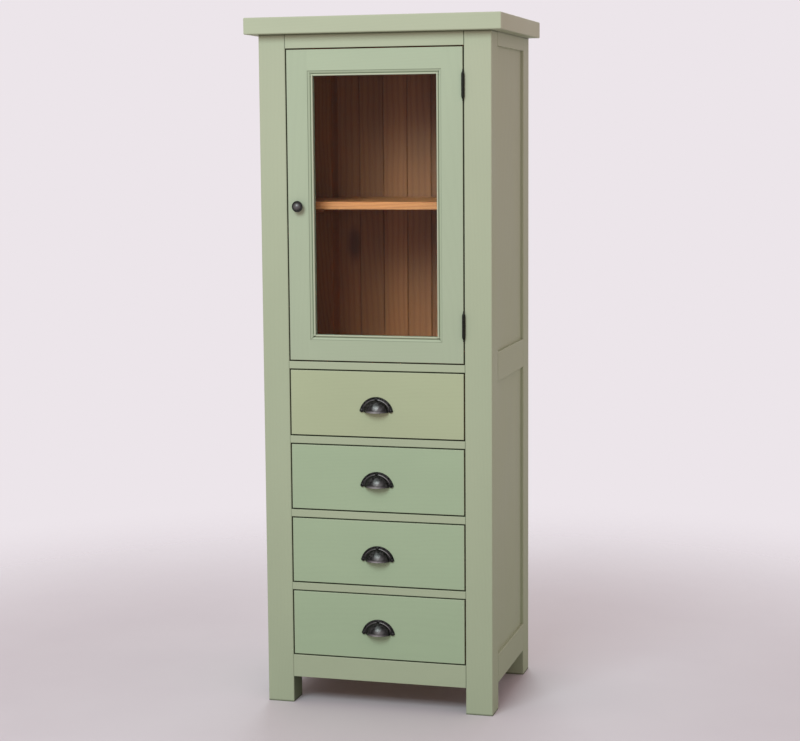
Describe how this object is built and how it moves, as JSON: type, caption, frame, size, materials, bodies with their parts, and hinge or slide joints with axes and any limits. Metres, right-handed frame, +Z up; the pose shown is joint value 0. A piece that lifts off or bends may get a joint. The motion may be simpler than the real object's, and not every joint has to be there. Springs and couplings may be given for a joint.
{
  "type": "kitchen cabinet",
  "caption": "Tall free-standing painted wooden kitchen cabinet with square corner posts, a glazed door over a stack of drawers with cup pulls, and an overhanging top",
  "frame": {"origin": "on the floor, under the centre of the top board", "axes": "+Z up, front faces -Y, +X to the right of a viewer facing the front"},
  "size_m": [0.693, 0.51, 1.85],
  "materials": {
    "sage_paint": "satin sage green paint over pine",
    "stained_pine": "honey brown stained and waxed pine",
    "raw_pine": "planed natural pine",
    "clear_glass": "clear float glass",
    "pewter_iron": "dark antique pewter",
    "black_iron": "blackened steel",
    "zinc_steel": "zinc plated",
    "brown_plastic": "moulded brown plastic with magnet"
  },
  "bodies": {
    "carcass": {"back_boards": "stained_pine", "cupboard_floor": "stained_pine", "door_catch": "brown_plastic", "drawer_runners": "raw_pine", "front_bottom_rail": "sage_paint", "front_drawer_rails": "sage_paint", "front_top_rail": "sage_paint", "hinge_pins": "black_iron", "hinge_post_leaves": "black_iron", "hinge_post_screws": "zinc_steel", "post_front_left": "sage_paint", "post_front_right": "sage_paint", "post_rear_left": "sage_paint", "post_rear_right": "sage_paint", "rear_rails": "stained_pine", "shelf": "stained_pine", "shelf_cleats": "stained_pine", "side_bottom_rails": "sage_paint", "side_lower_panels": "sage_paint", "side_middle_rails": "sage_paint", "side_top_rails": "sage_paint", "side_upper_panels": "sage_paint", "top_board": "sage_paint"},
    "door": {"door_bottom_rail": "sage_paint", "door_catch_plate": "zinc_steel", "door_glass": "clear_glass", "door_glazing_beads": "sage_paint", "door_hinge_stile": "sage_paint", "door_knob": "pewter_iron", "door_knob_screw": "zinc_steel", "door_knob_stile": "sage_paint", "door_moulding": "sage_paint", "door_top_rail": "sage_paint", "hinge_door_leaves": "black_iron", "hinge_door_screws": "zinc_steel"},
    "drawer_1": {"drawer_1_back": "raw_pine", "drawer_1_bottom": "raw_pine", "drawer_1_cup_pull": "pewter_iron", "drawer_1_front": "sage_paint", "drawer_1_pull_screws": "zinc_steel", "drawer_1_sides": "raw_pine"},
    "drawer_2": {"drawer_2_back": "raw_pine", "drawer_2_bottom": "raw_pine", "drawer_2_cup_pull": "pewter_iron", "drawer_2_front": "sage_paint", "drawer_2_pull_screws": "zinc_steel", "drawer_2_sides": "raw_pine"},
    "drawer_3": {"drawer_3_back": "raw_pine", "drawer_3_bottom": "raw_pine", "drawer_3_cup_pull": "pewter_iron", "drawer_3_front": "sage_paint", "drawer_3_pull_screws": "zinc_steel", "drawer_3_sides": "raw_pine"},
    "drawer_4": {"drawer_4_back": "raw_pine", "drawer_4_bottom": "raw_pine", "drawer_4_cup_pull": "pewter_iron", "drawer_4_front": "sage_paint", "drawer_4_pull_screws": "zinc_steel", "drawer_4_sides": "raw_pine"}
  },
  "joints": [
    {"name": "door_swing", "type": "hinge", "parent": "carcass", "child": "door", "pos_m": [0.2402, -0.2305, 1.3555], "axis": [0, 0, 1], "range_deg": [0, 165]},
    {"name": "drawer_1_slide", "type": "slide", "parent": "carcass", "child": "drawer_1", "axis": [0, -1, 0], "range_m": [0, 0.32]},
    {"name": "drawer_2_slide", "type": "slide", "parent": "carcass", "child": "drawer_2", "axis": [0, -1, 0], "range_m": [0, 0.32]},
    {"name": "drawer_3_slide", "type": "slide", "parent": "carcass", "child": "drawer_3", "axis": [0, -1, 0], "range_m": [0, 0.32]},
    {"name": "drawer_4_slide", "type": "slide", "parent": "carcass", "child": "drawer_4", "axis": [0, -1, 0], "range_m": [0, 0.32]}
  ]
}
